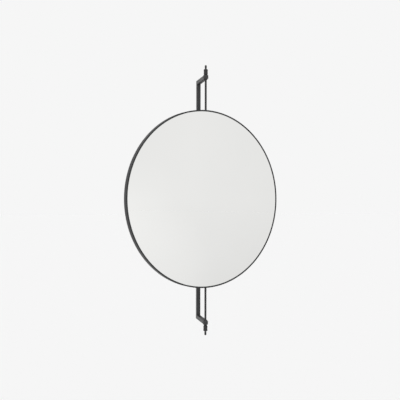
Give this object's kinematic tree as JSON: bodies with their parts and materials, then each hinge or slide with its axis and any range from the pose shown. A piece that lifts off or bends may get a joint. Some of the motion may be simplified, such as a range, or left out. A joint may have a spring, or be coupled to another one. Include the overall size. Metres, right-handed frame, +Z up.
{
  "type": "pivot wall mirror",
  "caption": "Round mirror in a thin black metal hoop that turns about an upright axis on two spindles, carried by a square-tube wall bracket with forward arms.",
  "frame": {"origin": "middle of the bracket's back face, on the wall", "axes": "+Z up along the wall bar, +Y out of the bracket's back into the wall, -Y into the room, +X to the right as one faces the wall"},
  "size_m": [0.5746, 0.2146, 0.914],
  "materials": {
    "satin_black": "satin black powder coat",
    "blackened_steel": "turned steel, black, low sheen",
    "black_nylon": "matt moulded nylon",
    "silvered_glass": "silvered float glass, ground edge",
    "foam_tape": "closed-cell foam bonding tape",
    "black_board": "thin fibreboard, black faced",
    "bare_steel": "zinc-plated steel"
  },
  "bodies": {
    "bracket": {"wall_bar": "satin_black", "upper_arm": "satin_black", "lower_arm": "satin_black", "upper_boss": "satin_black", "lower_boss": "satin_black", "upper_outer_bush": "black_nylon", "upper_inner_bush": "black_nylon", "lower_outer_bush": "black_nylon", "lower_inner_bush": "black_nylon"},
    "mirror": {"rim_hoop": "satin_black", "rim_lugs": "satin_black", "mirror_glass": "silvered_glass", "glass_tapes": "foam_tape", "back_panel": "black_board", "panel_screws": "bare_steel", "upper_spindle": "blackened_steel", "lower_spindle": "blackened_steel", "lower_disc_springs": "blackened_steel", "lower_washer": "blackened_steel", "upper_knob": "blackened_steel", "lower_knob": "blackened_steel", "upper_grub_screw": "blackened_steel", "lower_grub_screw": "blackened_steel"}
  },
  "joints": [
    {"name": "mirror_turn", "type": "hinge", "parent": "bracket", "child": "mirror", "pos_m": [0, -0.1115, 0.0028], "axis": [0, 0, 1], "range_deg": [-38.2, 1.4]}
  ]
}
